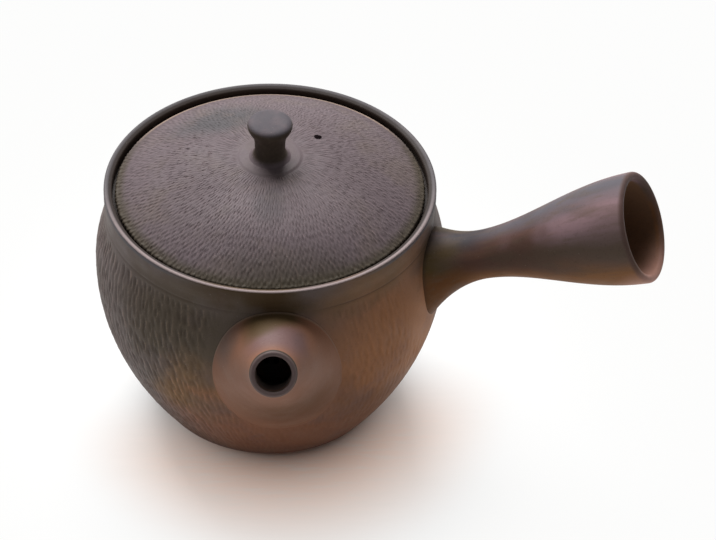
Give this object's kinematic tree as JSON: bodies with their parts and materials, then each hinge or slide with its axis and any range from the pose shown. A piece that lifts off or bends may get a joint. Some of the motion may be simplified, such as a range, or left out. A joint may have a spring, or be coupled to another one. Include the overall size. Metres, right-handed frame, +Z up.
{
  "type": "kyusu teapot",
  "caption": "Round side-handled teapot of unglazed stoneware with a lift-off domed lid, knob and vent, a conical spout with an inner strainer, and a hollow trumpet handle.",
  "frame": {"origin": "centre of the flat base, on the table", "axes": "+Z up along the pot's axis, -Y towards the spout, +X along the longest side, towards the handle"},
  "size_m": [0.1556, 0.1196, 0.096],
  "materials": {
    "pot_clay": "unglazed, satin-matte, kiln-flashed from grey-brown to warm brown",
    "spout_clay": "unglazed, smooth satin, pinkish brown",
    "strainer_clay": "unglazed, matte",
    "handle_clay": "unglazed, smooth satin, grey-violet above and red-brown below",
    "lid_clay": "unglazed, satin-matte, grey-brown with chatter marks",
    "knob_clay": "unglazed, smooth satin, dark grey-brown"
  },
  "bodies": {
    "pot": {"pot_body": "pot_clay", "spout": "spout_clay", "spout_strainer": "strainer_clay", "handle": "handle_clay"},
    "lid": {"lid": "lid_clay", "lid_knob": "knob_clay"}
  },
  "joints": [
    {"name": "lid_lift", "type": "slide", "parent": "pot", "child": "lid", "axis": [0, 0, 1], "range_m": [0, 0.04]}
  ]
}
